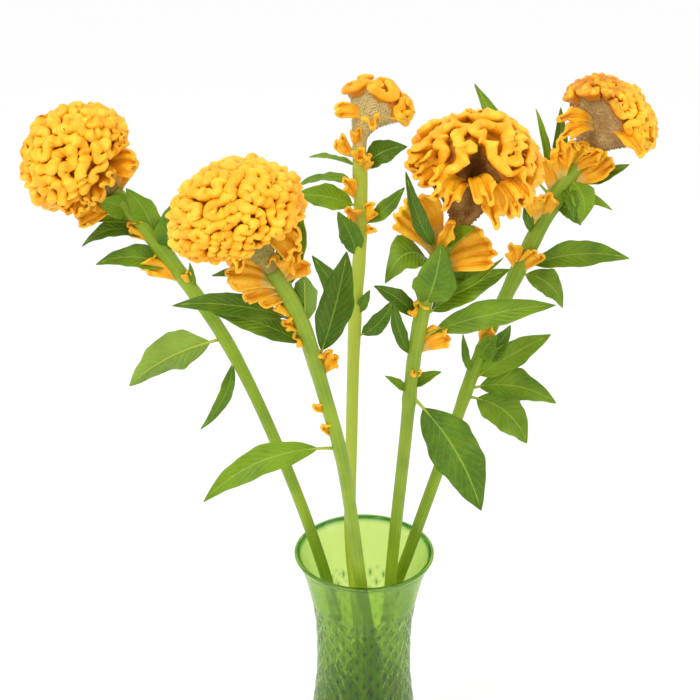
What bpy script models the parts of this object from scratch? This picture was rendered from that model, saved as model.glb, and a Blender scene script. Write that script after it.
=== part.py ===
"""Cockscomb celosia: five cut stems with crested heads, standing in water in a pressed glass vase.

Sizes are in millimetres and become metres where a vertex is made. +Z is up, the origin is on the table
under the middle of the vase, +X is to the right and -Y is to the front.
"""

import math
from collections import namedtuple

import bmesh
import bpy
import numpy as np

MM = 0.001
GAP = 0.3

# The vase: outline of the glass as (radius, height), a plain flared neck over a band of pressed diamonds
VASE_OUTLINE = [
    (34, 0), (37, 4), (40.5, 16), (43.5, 45), (42.6, 72), (39.2, 103), (36.2, 132),
    (35.6, 155), (36.2, 178), (37.8, 192), (41.0, 210), (45.2, 226), (51.0, 240),
]
GLASS = 3.6
GLASS_FLOOR = 12
DIAMONDS_ROUND = 16
DIAMOND_ROWS = 16
DIAMOND_BAND = (14.0, 203.0)
DIAMOND_RELIEF = 1.3
INSIDE_RINGS = 7
WATER_TOP = 120
WATER_SIDES = 24

# The stems: points that each one runs through, from its cut foot to under its head
STEM_SIDES = 6
STEM_RADIUS = 4.3
FOOT = 13.0
STEM_POINTS = {
    1: [(6, -7, FOOT), (-19, 8, 165), (-38, 17, 240), (-68, 27, 324), (-96, 30, 389), (-127, 30, 442),
        (-159, 28, 489), (-168, 27, 500)],
    2: [(22, 6, FOOT), (6, -20, 165), (-3, -38, 240), (-14, -60, 338), (-26, -74, 398), (-39, -92, 453),
        (-54, -106, 489)],
    3: [(4, -24, FOOT), (-3, -1, 165), (-10, 15, 240), (-9, 26, 324), (-7, 34, 400), (-3, 39, 470),
        (-4, 40, 528)],
    4: [(5, 12, FOOT), (17, 2, 165), (21, -4, 240), (27, -15, 329), (32, -30, 410), (41, -42, 468),
        (51, -46, 489)],
    5: [(-8, 22, FOOT), (17, 16, 165), (37, 15, 240), (62, 27, 316), (82, 35, 379), (105, 43, 435),
        (131, 48, 493), (144, 50, 515)],
}
STEM_SWELL = {1: 1.3, 2: 1.1, 3: 1.1, 4: 1.1, 5: 1.45}

# A blade grows from a stem: height of its root, compass direction (0 is right, 90 is back), rise, length,
# width, arch over its length, and how far its face is turned from the sky towards the front. A height
# under 1 is a share of the way from the stem's end to the middle of the head.
Blade = namedtuple("Blade", "height heading rise length width arch tilt")
LEAVES = {
    1: [
        Blade(395, -170, -24, 75, 30, 6, -75), Blade(385, -154, -64, 62, 10, -8, 60),
        Blade(483, -146, 30, 28, 17, 2, 80), Blade(463, -132, 62, 47, 17, 4, 70),
        Blade(456, -48, 74, 40, 17, 3, 80), Blade(461, -174, 2, 52, 15, 12, 40),
        Blade(443, -170, 10, 57, 17, 8, 50), Blade(476, -170, 6, 35, 6, 4, 60),
        Blade(428, -98, 72, 26, 5, 0, 80),
    ],
    2: [
        Blade(452, -176, 10, 75, 14, 5, 55), Blade(431, -168, 26, 63, 16, 4, 50),
        Blade(445, -86, 70, 42, 15, 3, -80), Blade(468, 76, 80, 66, 17, 3, 80),
        Blade(356, -172, -20, 94, 19, 12, 60), Blade(477, 174, 8, 41, 8, 4, 40),
        Blade(421, 50, 66, 71, 21, -3, 85),
    ],
    3: [
        Blade(514, 180, 12, 35, 9, 2, 8), Blade(503, 174, -2, 43, 12, 4, 20),
        Blade(485, -172, 14, 46, 17, 3, 65), Blade(510, -10, 32, 37, 17, 5, 60),
        Blade(472, -8, 44, 41, 11, -2, 70), Blade(447, -140, 64, 43, 15, 2, 80),
        Blade(402, -164, 60, 61, 15, 2, 75), Blade(409, -38, 60, 25, 8, 0, 70),
        Blade(393, -18, 48, 41, 13, -5, 60),
    ],
    4: [
        Blade(374, -36, -50, 90, 33, 8, 70), Blade(469, -152, -8, 35, 24, 14, 45),
        Blade(441, -70, 64, 54, 26, -4, 80), Blade(433, -10, 34, 65, 18, 3, 60),
        Blade(420, -10, 18, 90, 18, 4, 62), Blade(430, -162, 42, 42, 12, 3, 60),
        Blade(401, -152, 70, 49, 9, -3, 60), Blade(374, -160, 42, 24, 6, 1, 50),
        Blade(378, -18, 38, 26, 8, 2, 50), Blade(479, -128, 56, 68, 10, -6, 60),
        Blade(480, -58, 36, 38, 10, 3, 60), Blade(453, 10, 16, 35, 12, 2, 40),
        Blade(447, -18, 34, 57, 6, -5, 40),
    ],
    5: [
        Blade(441, -4, 8, 77, 19, 7, 60), Blade(438, -24, -30, 40, 18, 8, 55),
        Blade(358, -8, 36, 68, 20, 2, 65), Blade(355, -16, -2, 64, 24, 8, 45),
        Blade(350, -20, -32, 56, 27, 10, 65), Blade(370, -14, 56, 43, 14, -2, 70),
        Blade(364, -136, 72, 37, 6, -2, 60), Blade(372, -52, 56, 35, 13, 2, 80),
        Blade(489, 158, 52, 96, 15, -4, 55), Blade(495, 88, 78, 57, 10, 2, 60),
        Blade(489, 134, 72, 63, 6, 2, 50), Blade(499, -70, -46, 27, 10, 6, 75),
        Blade(505, -50, -62, 33, 17, 8, 70), Blade(485, -16, -30, 25, 14, 5, 60),
        Blade(502, -2, 16, 45, 12, -3, 50), Blade(493, -6, -14, 40, 8, 3, 50),
        Blade(463, -146, 70, 32, 7, -2, 70),
    ],
}
SIDE_CRESTS = {
    1: [
        Blade(434, -166, 30, 36, 12, 3, 60), Blade(428, -130, 68, 21, 5, 0, 70),
        Blade(461, -162, 38, 26, 9, 2, 60), Blade(497, 10, 68, 30, 14, 2, 70),
        Blade(492, -160, -16, 34, 17, 3, 60), Blade(485, -162, 14, 26, 9, 2, 50),
    ],
    2: [
        Blade(477, -156, 24, 37, 20, 4, 60), Blade(473, -158, 4, 27, 14, 3, 60),
        Blade(479, -78, 50, 26, 13, 3, 70), Blade(479, -14, 44, 22, 14, 2, 70),
        Blade(468, -150, 4, 20, 9, 2, 60), Blade(452, -148, 42, 26, 9, 2, 60),
        Blade(443, -148, 38, 19, 8, 2, 60), Blade(434, -146, 36, 13, 7, 1, 60),
        Blade(411, -38, 64, 22, 13, 2, 70), Blade(382, -154, 42, 13, 5, 1, 60),
        Blade(360, -158, 52, 18, 5, 1, 60),
    ],
    3: [
        Blade(487, -150, 56, 23, 8, 1, 70), Blade(472, -136, 52, 19, 8, 1, 70),
        Blade(473, -34, 56, 19, 8, 1, 70), Blade(507, -56, 54, 20, 8, 1, 70),
        Blade(467, -30, 24, 13, 5, 1, 60), Blade(521, -166, 44, 20, 8, -3, 70),
        Blade(517, -84, 50, 17, 10, -3, 70), Blade(525, -116, 66, 17, 7, -2, 70),
    ],
    4: [
        Blade(433, -124, 52, 15, 10, 1, 70), Blade(408, -16, 38, 28, 14, 2, 70),
        Blade(380, -70, 60, 17, 6, 1, 70), Blade(476, -140, 52, 51, 26, 5, 70),
        Blade(464, -20, 28, 45, 24, 5, 60), Blade(473, -74, 52, 40, 7, 2, 70),
    ],
    5: [
        Blade(438, -128, 66, 26, 10, 2, 70), Blade(436, -26, 50, 27, 10, 2, 70),
        Blade(468, -122, 60, 33, 12, 2, 70), Blade(469, -64, 64, 31, 11, 2, 70),
        Blade(489, -126, 66, 36, 14, 3, 70), Blade(500, -112, 68, 36, 13, -3, 70),
        Blade(505, -80, 60, 30, 12, 3, 70), Blade(505, -42, 44, 32, 15, 4, 70),
        Blade(500, -10, 32, 38, 14, -3, 60), Blade(506, -62, 50, 30, 11, 5, 60),
        Blade(504, -134, 56, 26, 12, 3, 70), Blade(383, -56, 72, 22, 9, 2, 70),
    ],
}
# Flaps that stand out under a crest, rooted between the stem's end and the head's middle
FLAPS = {
    1: [
        Blade(0.75, -28, 10, 44, 17, 4, 70), Blade(0.80, -102, -45, 38, 20, 4, 70),
        Blade(0.70, -55, -5, 38, 12, 4, 70), Blade(0.85, -25, 31, 43, 14, 4, 75),
        Blade(0.75, -71, -28, 37, 14, 4, 70),
    ],
    2: [
        Blade(0.75, -115, -14, 35, 15, 6, 60), Blade(0.80, -28, -13, 36, 17, 6, 80),
        Blade(0.72, -96, -19, 35, 13, 4, 60), Blade(0.85, -18, 14, 34, 13, 4, 80),
    ],
    3: [
        Blade(0.70, -150, 20, 30, 8, 4, 70), Blade(0.70, -88, 7, 24, 10, 2, 70),
        Blade(0.80, -20, 16, 31, 15, 4, 60),
    ],
    4: [
        Blade(0.75, -74, -15, 51, 11, 12, 80), Blade(0.80, -49, -7, 47, 19, 10, 75),
        Blade(0.80, -120, 3, 54, 14, 9, 70), Blade(0.85, -139, 8, 50, 17, 8, 70),
        Blade(0.72, -110, 1, 57, 12, 9, 60), Blade(0.72, -85, 2, 54, 12, 11, 70),
        Blade(0.80, -61, -14, 49, 15, 10, 70), Blade(0.85, -146, 19, 54, 14, 6, 80),
        Blade(0.85, -27, 7, 42, 15, 6, 80),
    ],
    5: [
        Blade(0.80, -140, 14, 47, 8, 6, 60), Blade(0.75, -131, 2, 50, 9, 6, 60),
        Blade(0.80, -62, -13, 44, 12, 8, 70), Blade(0.85, -29, -9, 37, 14, 6, 80),
    ],
}
LEAF_THICK = 0.8
LEAF_CUP = 0.16
LEAF_WAVE = 0.06
LEAF_STALK = 0.14
CREST_THICK = 2.0
CREST_CUP = 0.14
CREST_WAVE = 0.16

# A head: middle and axis of its crest, radii across, front to back and along the axis, how far down from
# the top its ruffled edge reaches, where that edge is cut back (heading, depth, width), the spacing of the
# folds, how wide the neck under it opens, and the seed that its growth starts from
Head = namedtuple("Head", "middle axis radii reach notch fold flare seed")
HEADS = {
    1: Head((-187, 21, 522), (-0.62, -0.25, 0.66), (38, 36, 34), 120, (-80, 12, 40), 15.0, 0.50, 11),
    2: Head((-70, -118, 522), (-0.25, -0.32, 0.88), (37, 35, 28), 118, (-40, 24, 38), 15.0, 0.50, 22),
    3: Head((6, 40, 549), (0.34, -0.10, 0.94), (27, 16, 25), 84, (-118, 44, 55), 11.0, 0.62, 33),
    4: Head((63, -52, 533), (0.10, 0.25, 0.96), (40, 35, 34), 112, (-95, 56, 24), 16.5, 0.46, 44),
    5: Head((162, 52, 542), (0.50, 0.10, 0.86), (35, 30, 28), 108, (-125, 50, 45), 14.0, 0.55, 55),
}
CORE_SHARE = 0.72
CORE_UNDER = 0.7
RIDGE_WAIST = 0.24
RIDGE_BULGE = 0.34
RIDGE_FOOT = 0.60
NECK_SIDES = 12
NECK_WAIST = 0.45
NECK_TOP = 0.96
NECK_ROOM = 1.2
NEAR_HEAD = 30


def catmull(points, steps):
    """Points along a smooth curve that runs through the given ones."""
    given = np.array(points, float)
    padded = np.vstack([2 * given[0] - given[1], given, 2 * given[-1] - given[-2]])
    found = []
    for a, b, c, d in zip(padded, padded[1:], padded[2:], padded[3:]):
        bend, twist = 2 * a - 5 * b + 4 * c - d, 3 * b - a - 3 * c + d
        for t in np.arange(steps) / steps:
            found.append(0.5 * (2 * b + (c - a) * t + bend * t**2 + twist * t**3))
    found.append(given[-1])
    return np.array(found)


def unit(vector):
    return np.array(vector, float) / np.linalg.norm(vector)


def tangents(line):
    return np.array([unit(v) for v in np.gradient(line, axis=0)])


def material(name, colour, roughness, transmission=0.0):
    made = bpy.data.materials.new(name)
    made.use_nodes = True
    shader = made.node_tree.nodes["Principled BSDF"]
    shader.inputs["Base Color"].default_value = (*colour, 1)
    shader.inputs["Roughness"].default_value = roughness
    shader.inputs["Metallic"].default_value = 0
    shader.inputs["Transmission Weight"].default_value = transmission
    return made


def make_object(name, points, faces, finish, collection=None):
    """An object from points in millimetres, with its faces turned outwards and split into triangles."""
    mesh = bpy.data.meshes.new(name)
    mesh.from_pydata([tuple(np.array(p) * MM) for p in points], [], faces)
    body = bmesh.new()
    body.from_mesh(mesh)
    bmesh.ops.recalc_face_normals(body, faces=body.faces)
    bmesh.ops.triangulate(body, faces=[f for f in body.faces if len(f.verts) > 3], quad_method="FIXED")
    body.to_mesh(mesh)
    body.free()
    mesh.materials.append(finish)
    made = bpy.data.objects.new(name, mesh)
    (collection or bpy.context.scene.collection).objects.link(made)
    return made


def tube(rings):
    """Points and faces of a closed tube over rings with the same number of points."""
    count = len(rings[0])
    points = [p for ring in rings for p in ring]
    faces = []
    for r in range(len(rings) - 1):
        for k in range(count):
            n = (k + 1) % count
            faces.append((r * count + k, r * count + n, (r + 1) * count + n, (r + 1) * count + k))
    faces.append(tuple(range(count))[::-1])
    faces.append(tuple(range((len(rings) - 1) * count, len(rings) * count)))
    return points, faces


def boolean(target, tool, operation, solver="EXACT"):
    """Joins or cuts with an object, or with a collection of them, and removes what it used."""
    step = target.modifiers.new("Boolean", "BOOLEAN")
    step.operation = operation
    step.solver = solver
    if isinstance(tool, bpy.types.Collection):
        step.operand_type = "COLLECTION"
        step.collection = tool
        used = list(tool.objects)
    else:
        step.object = tool
        used = [tool]
    graph = bpy.context.evaluated_depsgraph_get()
    result = bpy.data.meshes.new_from_object(target.evaluated_get(graph))
    target.modifiers.clear()
    target.data = result
    for item in used:
        bpy.data.objects.remove(item)
    if isinstance(tool, bpy.types.Collection):
        bpy.data.collections.remove(tool)


def fill_cavities(target):
    """Keeps only the largest shell of a mesh: the others are hollows closed in between crossing blades."""
    body = bmesh.new()
    body.from_mesh(target.data)
    left = set(body.verts)
    shells = []
    while left:
        shell, edge = set(), [left.pop()]
        while edge:
            vert = edge.pop()
            shell.add(vert)
            fresh = {e.other_vert(vert) for e in vert.link_edges} & left
            left -= fresh
            edge += list(fresh)
        shells.append(shell)
    largest = max(shells, key=len)
    spare = [v for shell in shells if shell is not largest for v in shell]
    bmesh.ops.delete(body, geom=spare, context="VERTS")
    body.to_mesh(target.data)
    body.free()


def outside_radius(height):
    line = catmull(VASE_OUTLINE, 8)
    return float(np.interp(height, line[:, 1], line[:, 0]))


def inside_radius(height):
    return outside_radius(height) - GLASS


def vase(finish):
    """Turned glass, its outer wall raised in pyramids between crossing grooves."""
    around = 2 * DIAMONDS_ROUND
    angles = np.arange(around) * 2 * math.pi / around
    low, high = DIAMOND_BAND
    band = np.linspace(low, high, DIAMOND_ROWS + 1)
    rings = []

    def ring(radius, height, raised=None):
        radii = [radius + (DIAMOND_RELIEF if raised and (k + raised) % 2 else 0) for k in range(around)]
        rings.append([(r * math.cos(a), r * math.sin(a), height) for r, a in zip(radii, angles)])

    ring(outside_radius(0) - 6, 0)
    ring(outside_radius(0), 0)
    ring(outside_radius(5), 5)
    first_row = len(rings)
    for row, height in enumerate(band):
        inner_row = 0 < row < DIAMOND_ROWS
        ring(outside_radius(height) - DIAMOND_RELIEF / 2, height, row + 2 if inner_row else None)
    last_row = len(rings) - 1
    top = VASE_OUTLINE[-1][1]
    for height in (214, 228, top - 1.5):
        ring(outside_radius(height), height)
    ring(outside_radius(top) - 1.2, top)
    ring(outside_radius(top) - GLASS + 1.0, top)
    ring(inside_radius(top - 1.5), top - 1.5)
    for height in np.linspace(228, GLASS_FLOOR + 8, INSIDE_RINGS):
        ring(inside_radius(height), height)
    ring(inside_radius(GLASS_FLOOR) - 4, GLASS_FLOOR)

    points = [p for r in rings for p in r]
    faces = []
    for r in range(len(rings) - 1):
        for k in range(around):
            n = (k + 1) % around
            a, b, c, d = r * around + k, r * around + n, (r + 1) * around + n, (r + 1) * around + k
            row = r - first_row + 2
            if first_row <= r < last_row and (k + row) % 2:
                faces += [(b, c, d), (b, d, a)]
            elif first_row <= r < last_row:
                faces += [(a, b, c), (a, c, d)]
            else:
                faces.append((a, b, c, d))
    faces.append(tuple(range(around))[::-1])
    faces.append(tuple(range((len(rings) - 1) * around, len(rings) * around)))
    return make_object("vase", points, faces, finish)


def stem_line(number, steps=3):
    return catmull(STEM_POINTS[number], steps)


def stem_rings(line, radii, sides=STEM_SIDES):
    """Rings square to a line, with their first point kept towards the back."""
    rings = []
    for centre, along, radius in zip(line, tangents(line), radii):
        side = unit(np.cross(along, (0, 1, 0)))
        back = np.cross(side, along)
        turns = np.arange(sides) * 2 * math.pi / sides
        rings.append([centre + radius * (side * math.cos(t) + back * math.sin(t)) for t in turns])
    return rings


def stem_radius(number, height):
    """A stem swells a little under its head."""
    top = STEM_POINTS[number][-1][2]
    return STEM_RADIUS * float(np.interp(height, [0, 0.7 * top, top], [1, 1, STEM_SWELL[number]]))


def blade_frame(number, blade):
    """Middle line of a blade from inside its stem to its tip, and the directions across and out of it."""
    line = stem_line(number, 24)
    root = line[np.abs(line[:, 2] - blade.height).argmin()]
    if blade.height < 1:
        root = line[-1] + blade.height * (np.array(HEADS[number].middle) - line[-1])
    heading, rise, tilt = (math.radians(v) for v in (blade.heading, blade.rise, blade.tilt))
    along = np.array([math.cos(rise) * math.cos(heading), math.cos(rise) * math.sin(heading), math.sin(rise)])
    face = np.array([0, -math.sin(tilt), math.cos(tilt)])
    face = unit(face - along * (face @ along))
    across = np.cross(along, face)
    upward = np.array([0, 0, 1]) - along * along[2]
    upward = face if np.linalg.norm(upward) < 0.3 else unit(upward)
    share = np.linspace(0, 1, 33)[:, None]
    middle = root + along * blade.length * share + upward * blade.arch * 4 * share * (1 - share)
    return middle, across, face


def along_line(middle, share):
    spot = share * (len(middle) - 1)
    low = min(int(spot), len(middle) - 2)
    return middle[low] + (middle[low + 1] - middle[low]) * (spot - low)


def blade_solid(middle, across, face, shares, widths, cup, wave, thick, spare):
    """A thin closed blade, or the room it needs with some to spare: left edge, rib and right edge on both
    faces, split into triangles alike on both."""
    top, bottom = [], []
    middle = np.vstack([middle, middle[-1] + unit(middle[-1] - middle[-2]) * spare])
    thick += 2 * spare
    for index, (share, width) in enumerate(zip(shares, widths)):
        centre = along_line(middle, share)
        for side in (-1, 0, 1):
            lift = abs(side) * cup * width + side * wave * width * math.sin(index * 2.1)
            point = centre + across * side * (width / 2 + spare) + face * lift
            top.append(point + face * thick / 2)
            bottom.append(point - face * thick / 2)
    count = len(shares)
    faces = []
    under = len(top)
    for i in range(count - 1):
        for j in (0, 1):
            a, b, c, d = 3 * i + j, 3 * i + j + 1, 3 * i + j + 4, 3 * i + j + 3
            faces += [(a, b, c), (a, c, d)]
            faces += [(under + c, under + b, under + a), (under + d, under + c, under + a)]
    border = [3 * i for i in range(count)] + [3 * count - 2]
    border += [3 * i + 2 for i in reversed(range(count))] + [1]
    for a, b in zip(border, border[1:] + border[:1]):
        faces.append((b, a, under + a, under + b))
    return top + bottom, faces


def leaf_solid(number, blade, spare=0):
    """A pointed leaf on a short stalk, folded a little along its rib, with a waved edge."""
    steps = 2 if blade.length < 36 else 3 if blade.length < 66 else 4
    middle, across, face = blade_frame(number, blade)
    shares = [0, LEAF_STALK] + list(LEAF_STALK + (1 - LEAF_STALK) * np.arange(1, steps) / steps) + [1]
    widths = [1.6, 1.8]
    for s in np.arange(1, steps) / steps:
        widths.append(blade.width * (math.sin(math.pi * s**0.8) ** 0.85))
    widths.append(0.8)
    return blade_solid(middle, across, face, shares, widths, LEAF_CUP, LEAF_WAVE, LEAF_THICK, spare)


def side_crest_solid(number, blade, spare=0):
    """A small crest: a fan that widens to a thick waved edge."""
    middle, across, face = blade_frame(number, blade)
    shares = [0, 0.4, 0.8, 1]
    widths = [2.4, 0.55 * blade.width, blade.width, 0.72 * blade.width]
    return blade_solid(middle, across, face, shares, widths, CREST_CUP, CREST_WAVE, CREST_THICK, spare)


def leafy_stem(number, finish):
    line = stem_line(number)
    radii = [stem_radius(number, p[2]) for p in line]
    points, faces = tube(stem_rings(line, radii))
    name = f"stem_{number}"
    stem = make_object(name, points, faces, finish)
    blades = bpy.data.collections.new("blades")
    bpy.context.scene.collection.children.link(blades)
    for blade in LEAVES[number]:
        make_object("leaf", *leaf_solid(number, blade), finish, blades)
    for blade in SIDE_CRESTS[number]:
        make_object("side_crest", *side_crest_solid(number, blade), finish, blades)
    boolean(stem, blades, "UNION")
    fill_cavities(stem)
    return stem


def head_frame(head):
    """Directions across, front to back and along the axis of a head."""
    axis = unit(head.axis)
    across = unit(np.cross((0, 1, 0), axis))
    return across, np.cross(axis, across), axis


def reach_of(head, turn):
    """How far down from the top the edge comes at each heading, as angles."""
    heading, depth, width = (math.radians(v) for v in head.notch)
    away = np.abs((turn - heading + math.pi) % (2 * math.pi) - math.pi)
    return math.radians(head.reach) - depth * np.exp(-((away / width) ** 2))


def grow_edge(head):
    """The growing edge of a crest, as unit directions from its middle: a loop that lengthens and pushes
    itself apart until it fills the dome with folds."""
    rng = np.random.default_rng(head.seed)
    pitch = head.fold / float(np.mean(head.radii))
    step = 0.48 * pitch
    headings = np.linspace(-math.pi, math.pi, 73)[:-1]
    area = 2 * math.pi * float(np.mean(1 - np.cos(reach_of(head, headings))))
    wanted = int(area / pitch / step * 0.94)
    turns = np.arange(12) * 2 * math.pi / 12
    start = 0.5 * (1 + 0.2 * rng.random(12))
    loop = np.stack([np.sin(start) * np.cos(turns), np.sin(start) * np.sin(turns), np.cos(start)], 1)
    settle = 90
    while settle > 0:
        count = len(loop)
        if count < wanted:
            lengths = np.sqrt(((np.roll(loop, -1, 0) - loop) ** 2).sum(1))
            picked = int(np.argmax(lengths + 0.5 * step * rng.random(count)))
            fresh = (loop[picked] + loop[(picked + 1) % count]) / 2
            loop = np.insert(loop, picked + 1, fresh, axis=0)
            count += 1
        else:
            settle -= 1
        apart = loop[:, None, :] - loop[None, :, :]
        distance = np.sqrt((apart**2).sum(2)) + 1e-9
        order = np.abs(np.arange(count)[:, None] - np.arange(count)[None, :])
        order = np.minimum(order, count - order)
        push = np.where((order > 2) & (distance < pitch), (pitch - distance) / distance, 0)
        move = 0.32 * (apart * push[:, :, None]).sum(1)
        before, after = np.roll(loop, 1, 0), np.roll(loop, -1, 0)
        move += 0.18 * ((before + after) / 2 - loop)
        for other in (before, after):
            gap = other - loop
            size = np.sqrt((gap**2).sum(1))[:, None] + 1e-9
            move += 0.22 * gap * (size - step) / size
        length = np.sqrt((move**2).sum(1))[:, None] + 1e-9
        loop = loop + move * np.minimum(1, 0.45 * step / length)
        loop /= np.sqrt((loop**2).sum(1))[:, None]
        turn = np.arctan2(loop[:, 1], loop[:, 0])
        polar = np.minimum(np.arccos(np.clip(loop[:, 2], -1, 1)), reach_of(head, turn))
        loop = np.stack([np.sin(polar) * np.cos(turn), np.sin(polar) * np.sin(turn), np.cos(polar)], 1)
        loop = np.round(loop, 7)
    return loop


def on_head(head, direction, share):
    across, back, axis = head_frame(head)
    a, b, c = head.radii
    local = np.array(direction) * (a, b, c) * share
    local[2] *= 1 if local[2] > 0 else CORE_UNDER
    return np.array(head.middle) + across * local[0] + back * local[1] + axis * local[2]


def crest(number, finish):
    """The ruffled ridge, a rounded wall along the grown edge, standing out of a smaller core."""
    head = HEADS[number]
    loop = grow_edge(head)
    outer = 0.98 + 0.05 * np.sin(5 * loop[:, 0] + 3 * loop[:, 1] + head.seed)
    half = head.fold / float(np.mean(head.radii))
    rings = []
    for point, before, after, top in zip(loop, np.roll(loop, 1, 0), np.roll(loop, -1, 0), outer):
        side = unit(np.cross(point, after - before))
        section = [
            (-RIDGE_WAIST, RIDGE_FOOT), (-RIDGE_BULGE, top), (RIDGE_BULGE, top), (RIDGE_WAIST, RIDGE_FOOT),
        ]
        rings.append([on_head(head, unit(point + side * out * half), share) for out, share in section])
    count, sides = len(rings), len(rings[0])
    points = [p for ring in rings for p in ring]
    faces = []
    for r in range(count):
        s = (r + 1) % count
        for k in range(sides):
            n = (k + 1) % sides
            faces.append((r * sides + k, r * sides + n, s * sides + n, s * sides + k))
    ridge = make_object(f"crest_{number}", points, faces, finish)
    boolean(ridge, core(head, CORE_SHARE, 0, finish), "UNION")
    flaps = bpy.data.collections.new("flaps")
    bpy.context.scene.collection.children.link(flaps)
    for blade in FLAPS[number]:
        make_object("flap", *side_crest_solid(number, blade), finish, flaps)
    boolean(ridge, flaps, "UNION")
    fill_cavities(ridge)
    return ridge


def core(head, share, extra, finish):
    """A smooth egg inside the head."""
    body = bmesh.new()
    bmesh.ops.create_icosphere(body, subdivisions=2, radius=1)
    points = [on_head(head, np.array(v.co) * (1 + extra / np.mean(head.radii)), share) for v in body.verts]
    faces = [tuple(v.index for v in f.verts) for f in body.faces]
    body.free()
    return make_object("core", points, faces, finish)


def neck(number, finish):
    """The fan under a crest that florets cover: it widens from the stem to the underside of the core."""
    head = HEADS[number]
    across, back, axis = head_frame(head)
    line = stem_line(number)
    foot, along = line[-1], tangents(line)[-1]
    radius = stem_radius(number, foot[2])
    first = stem_rings(np.array([foot, foot + along * 0.01]), [radius, radius], NECK_SIDES)[0]
    start = np.array(first) + along * GAP
    middle = np.array(head.middle)
    rings = [list(start)]
    for rise, share in ((NECK_WAIST, 0.62 * head.flare), (NECK_TOP, head.flare)):
        centre = foot + rise * (middle - foot)
        ring = []
        for p in first:
            out = unit(p - foot)
            x, y = out @ across, out @ back
            size = math.hypot(x, y)
            ring.append(centre + share * (across * x * head.radii[0] + back * y * head.radii[1]) / size)
        rings.append(ring)
    made = make_object(f"neck_{number}", *tube(rings), finish)
    boolean(made, core(head, CORE_SHARE, NECK_ROOM, finish), "DIFFERENCE")
    near = foot[2] - NEAR_HEAD
    room = bpy.data.collections.new("room")
    bpy.context.scene.collection.children.link(room)
    for blade in [b for b in LEAVES[number] if b.height > near]:
        make_object("slot", *leaf_solid(number, blade, 2 * GAP), finish, room)
    for blade in FLAPS[number] + [b for b in SIDE_CRESTS[number] if b.height > near]:
        make_object("slot", *side_crest_solid(number, blade, 2 * GAP), finish, room)
    boolean(made, room, "DIFFERENCE")
    return made


def water(finish):
    """Water that fills the vase to its waist, with a plain hole round each stem."""
    rings = []
    turns = np.arange(WATER_SIDES) * 2 * math.pi / WATER_SIDES
    shrink = 0.985
    for height in np.linspace(GLASS_FLOOR + 8, WATER_TOP, 5):
        radius = (inside_radius(height) - GAP) * shrink
        rings.append([(radius * math.cos(t), radius * math.sin(t), height) for t in turns])
    low = (inside_radius(GLASS_FLOOR) - 4 - GAP) * shrink
    rings.insert(0, [(low * math.cos(t), low * math.sin(t), GLASS_FLOOR + GAP) for t in turns])
    made = make_object("water", *tube(rings), finish)
    holes = bpy.data.collections.new("holes")
    bpy.context.scene.collection.children.link(holes)
    for number in STEM_POINTS:
        line = stem_line(number)
        line = line[: int(np.argmax(line[:, 2] > WATER_TOP + 15)) + 1]
        line = np.vstack([line[0] - tangents(line)[0] * 8, line])
        points, faces = tube(stem_rings(line, [STEM_RADIUS + 2 * GAP] * len(line)))
        make_object("hole", points, faces, finish, holes)
    boolean(made, holes, "DIFFERENCE")
    return made


def main():
    for thing in list(bpy.data.objects):
        bpy.data.objects.remove(thing)
    glass = material("green_glass", (0.33, 0.62, 0.10), 0.05, 1.0)
    clear_water = material("water", (0.80, 0.93, 0.70), 0.02, 1.0)
    green = material("leaf_green", (0.20, 0.42, 0.06), 0.50)
    yellow = material("crest_yellow", (0.95, 0.50, 0.02), 0.55)
    florets = material("floret_tan", (0.50, 0.38, 0.16), 0.75)
    vase(glass)
    water(clear_water)
    for number in STEM_POINTS:
        leafy_stem(number, green)
        neck(number, florets)
        crest(number, yellow)


main()
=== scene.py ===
import math

import bmesh
import bpy
import numpy as np
from mathutils import Matrix, Vector, noise


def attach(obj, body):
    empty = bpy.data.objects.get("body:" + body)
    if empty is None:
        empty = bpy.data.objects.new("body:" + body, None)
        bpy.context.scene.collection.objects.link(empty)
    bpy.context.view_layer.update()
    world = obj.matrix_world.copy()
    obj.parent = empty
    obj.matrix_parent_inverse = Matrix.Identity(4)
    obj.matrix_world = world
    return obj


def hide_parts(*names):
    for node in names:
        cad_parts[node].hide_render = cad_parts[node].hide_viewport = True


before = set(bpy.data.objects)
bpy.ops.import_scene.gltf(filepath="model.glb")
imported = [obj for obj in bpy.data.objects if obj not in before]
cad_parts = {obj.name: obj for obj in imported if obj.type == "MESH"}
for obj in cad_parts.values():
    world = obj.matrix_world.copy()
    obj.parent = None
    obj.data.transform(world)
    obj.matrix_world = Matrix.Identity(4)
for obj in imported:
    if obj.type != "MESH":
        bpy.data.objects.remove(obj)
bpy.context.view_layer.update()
mm = 0.001


# lines and directions, in millimetres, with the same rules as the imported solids


def unit(vector):
    return np.array(vector, float) / np.linalg.norm(vector)


def curveBetween(a, b, c, d, t):
    # places on a smooth curve from b to c, which comes from a and goes on to d
    bend = 2 * a - 5 * b + 4 * c - d
    return 0.5 * (2 * b + (c - a) * t + bend * t**2 + (3 * b - a - 3 * c + d) * t**3)


def curveThrough(points, steps):
    given = np.array(points, float)
    padded = np.vstack([2 * given[0] - given[1], given, 2 * given[-1] - given[-2]])
    t = (np.arange(steps) / steps)[:, None]
    found = [curveBetween(*four, t) for four in zip(padded, padded[1:], padded[2:], padded[3:])]
    return np.vstack(found + [given[-1:]])


def tangentsOf(line):
    slope = np.gradient(line, axis=0)
    return slope / np.linalg.norm(slope, axis=1)[:, None]


def directionAt(polar, turn):
    # polar is the angle from the axis, turn the compass direction round it
    return np.stack([np.sin(polar) * np.cos(turn), np.sin(polar) * np.sin(turn), np.cos(polar)], 1)


def smoothStep(low, high, value):
    t = np.clip((value - low) / (high - low), 0, 1)
    return t * t * (3 - 2 * t)


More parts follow.
